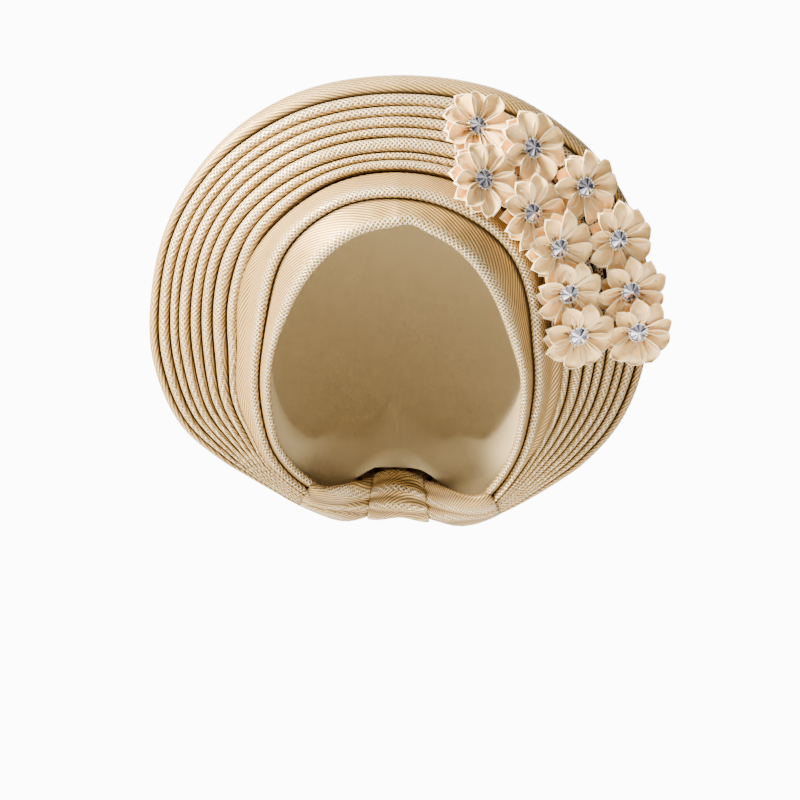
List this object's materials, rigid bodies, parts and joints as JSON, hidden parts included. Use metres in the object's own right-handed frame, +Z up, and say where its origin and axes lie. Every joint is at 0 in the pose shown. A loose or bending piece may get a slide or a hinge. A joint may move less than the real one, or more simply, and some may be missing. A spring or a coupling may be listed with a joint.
{
  "type": "tied gele head tie",
  "caption": "Soft gele head tie with a close cap, two brow bands, a tall pleated fan round the face, a rolled nape and a cluster of ribbon flowers with set stones.",
  "frame": {"origin": "inside top of the cap, where the crown of the head bears", "axes": "+Z up, the front of the head tie faces -Y, +X to the viewer's right of the front"},
  "size_m": [0.2835, 0.1952, 0.2465],
  "materials": {
    "champagne_cloth": "twill-woven champagne cloth with a soft metallic sheen",
    "cap_cloth": "plain matt cloth",
    "peach_satin": "peach satin ribbon with a soft sheen",
    "silver_setting": "bright silver-coloured metal",
    "crystal": "clear cut crystal"
  },
  "bodies": {
    "root": {"crown_cap": "cap_cloth", "brow_band_lower": "champagne_cloth", "brow_band_upper": "champagne_cloth", "pleated_fan": "champagne_cloth", "back_drape": "champagne_cloth", "nape_roll": "champagne_cloth", "nape_knot": "champagne_cloth", "flower_01": "peach_satin", "flower_02": "peach_satin", "flower_03": "peach_satin", "flower_04": "peach_satin", "flower_05": "peach_satin", "flower_06": "peach_satin", "flower_07": "peach_satin", "flower_08": "peach_satin", "flower_09": "peach_satin", "flower_10": "peach_satin", "flower_11": "peach_satin", "setting_01": "silver_setting", "setting_02": "silver_setting", "setting_03": "silver_setting", "setting_04": "silver_setting", "setting_05": "silver_setting", "setting_06": "silver_setting", "setting_07": "silver_setting", "setting_08": "silver_setting", "setting_09": "silver_setting", "setting_10": "silver_setting", "setting_11": "silver_setting", "stone_01": "crystal", "stone_02": "crystal", "stone_03": "crystal", "stone_04": "crystal", "stone_05": "crystal", "stone_06": "crystal", "stone_07": "crystal", "stone_08": "crystal", "stone_09": "crystal", "stone_10": "crystal", "stone_11": "crystal"}
  },
  "joints": []
}
